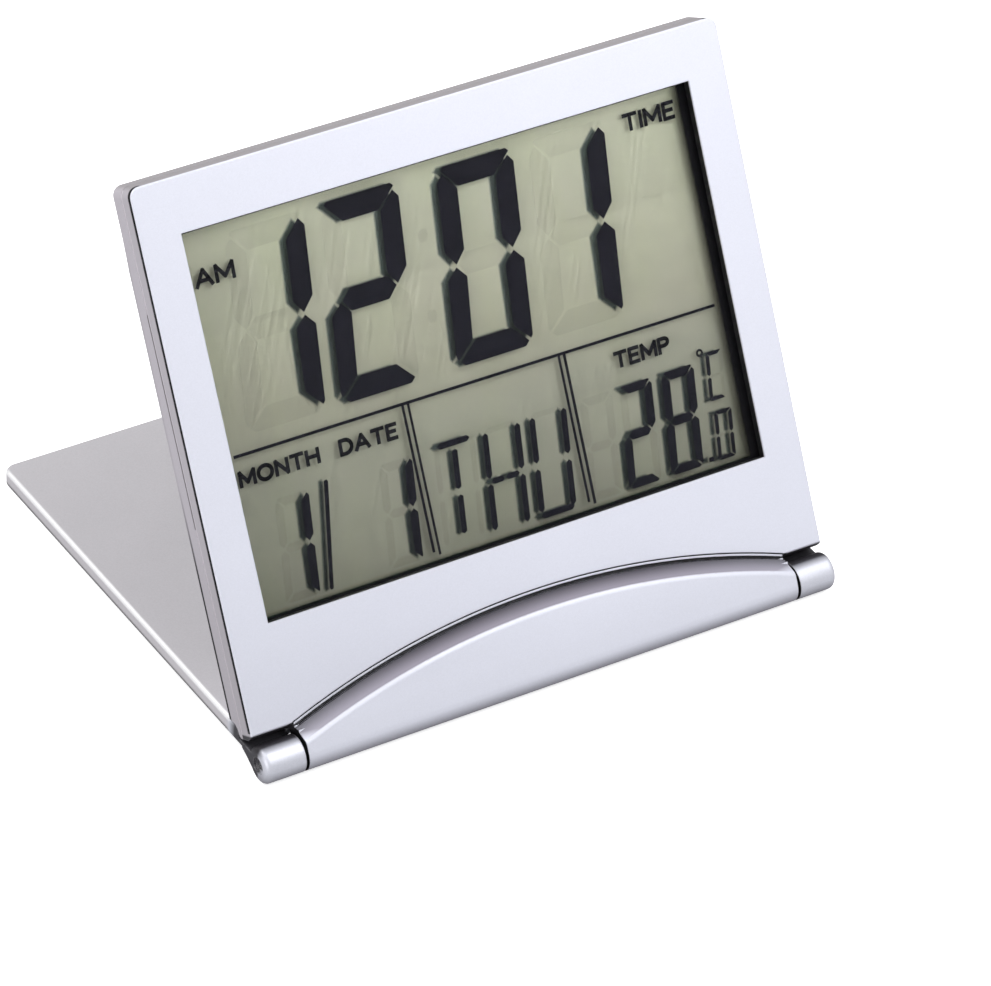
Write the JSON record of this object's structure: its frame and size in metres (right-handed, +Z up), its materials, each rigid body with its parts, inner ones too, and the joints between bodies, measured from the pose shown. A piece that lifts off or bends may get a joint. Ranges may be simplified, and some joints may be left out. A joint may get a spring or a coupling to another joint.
{
  "type": "travel alarm clock",
  "caption": "Folding digital travel alarm clock: a slim display housing with an arched hinge lip leans back on a flat cover that swings round to become its stand.",
  "frame": {"origin": "centre of the open clock's footprint, on the table it stands on", "axes": "+X to the right along the hinge, +Y towards the back, +Z up"},
  "size_m": [0.083, 0.0698, 0.066],
  "materials": {
    "face_silver": "fine bluish silver paint, satin",
    "rear_silver": "warm silver grey paint, satin",
    "cover_silver": "satin silver paint",
    "black_plastic": "black, fine matt",
    "clear_window": "clear, polished",
    "polariser": "smoky olive film, satin",
    "lcd_glass": "clear glass with a greenish edge",
    "lcd_reflector": "pearly olive grey film",
    "silicone_dark": "dull, finely layered",
    "silicone_grey": "translucent grey silicone",
    "pad_rubber": "soft black",
    "circuit_board": "green solder mask",
    "epoxy": "black cast epoxy",
    "plated_steel": "nickel plated",
    "spring_steel": "tin plated strip",
    "pin_steel": "ground steel",
    "screw_steel": "zinc plated",
    "thermistor_bead": "black bead",
    "buzzer_brass": "rolled brass with a ceramic disc",
    "wire_sleeve": "red sleeve",
    "key_grey": "grey, satin"
  },
  "bodies": {
    "stand": {"stand_cover": "cover_silver", "cover_bumpers": "pad_rubber", "hinge_pin_left": "pin_steel", "hinge_pin_right": "pin_steel"},
    "housing": {"front_bezel": "face_silver", "hinge_lip": "face_silver", "rear_case": "rear_silver", "display_frame": "black_plastic", "display_window": "clear_window", "lcd_front_polariser": "polariser", "lcd_front_glass": "lcd_glass", "lcd_rear_glass": "lcd_glass", "lcd_reflector": "lcd_reflector", "zebra_strip": "silicone_dark", "main_board": "circuit_board", "clock_chip": "epoxy", "quartz_crystal": "plated_steel", "thermistor": "thermistor_bead", "buzzer_disc": "buzzer_brass", "buzzer_leads": "wire_sleeve", "coin_cell": "plated_steel", "battery_contact_negative": "spring_steel", "battery_contact_positive": "spring_steel", "keypad_mat": "silicone_grey", "case_screws": "screw_steel", "board_screws": "screw_steel"},
    "hatch": {"battery_door": "rear_silver"},
    "key_upper_inner": {"button_upper_inner": "key_grey"},
    "key_upper_outer": {"button_upper_outer": "key_grey"},
    "key_middle_inner": {"button_middle_inner": "key_grey"},
    "key_middle_outer": {"button_middle_outer": "key_grey"},
    "key_lower_inner": {"button_lower_inner": "key_grey"},
    "key_lower_outer": {"button_lower_outer": "key_grey"}
  },
  "joints": [
    {"name": "housing_fold", "type": "hinge", "parent": "stand", "child": "housing", "pos_m": [0, -0.03241, 0.00245], "axis": [1, 0, 0], "range_deg": [0, 296.6]},
    {"name": "battery_door_open", "type": "hinge", "parent": "housing", "child": "hatch", "pos_m": [0, -0.01524, 0.01141], "axis": [-1, 0, 0], "range_deg": [0, 60]},
    {"name": "press_upper_inner", "type": "slide", "parent": "housing", "child": "key_upper_inner", "axis": [0, -0.9251, 0.3798], "range_m": [0, 0.0005], "stiffness_N_per_m": 200, "springref_m": -0.0005},
    {"name": "press_upper_outer", "type": "slide", "parent": "housing", "child": "key_upper_outer", "axis": [0, -0.9251, 0.3798], "range_m": [0, 0.0005], "stiffness_N_per_m": 200, "springref_m": -0.0005},
    {"name": "press_middle_inner", "type": "slide", "parent": "housing", "child": "key_middle_inner", "axis": [0, -0.9251, 0.3798], "range_m": [0, 0.0005], "stiffness_N_per_m": 200, "springref_m": -0.0005},
    {"name": "press_middle_outer", "type": "slide", "parent": "housing", "child": "key_middle_outer", "axis": [0, -0.9251, 0.3798], "range_m": [0, 0.0005], "stiffness_N_per_m": 200, "springref_m": -0.0005},
    {"name": "press_lower_inner", "type": "slide", "parent": "housing", "child": "key_lower_inner", "axis": [0, -0.9251, 0.3798], "range_m": [0, 0.0005], "stiffness_N_per_m": 200, "springref_m": -0.0005},
    {"name": "press_lower_outer", "type": "slide", "parent": "housing", "child": "key_lower_outer", "axis": [0, -0.9251, 0.3798], "range_m": [0, 0.0005], "stiffness_N_per_m": 200, "springref_m": -0.0005}
  ]
}
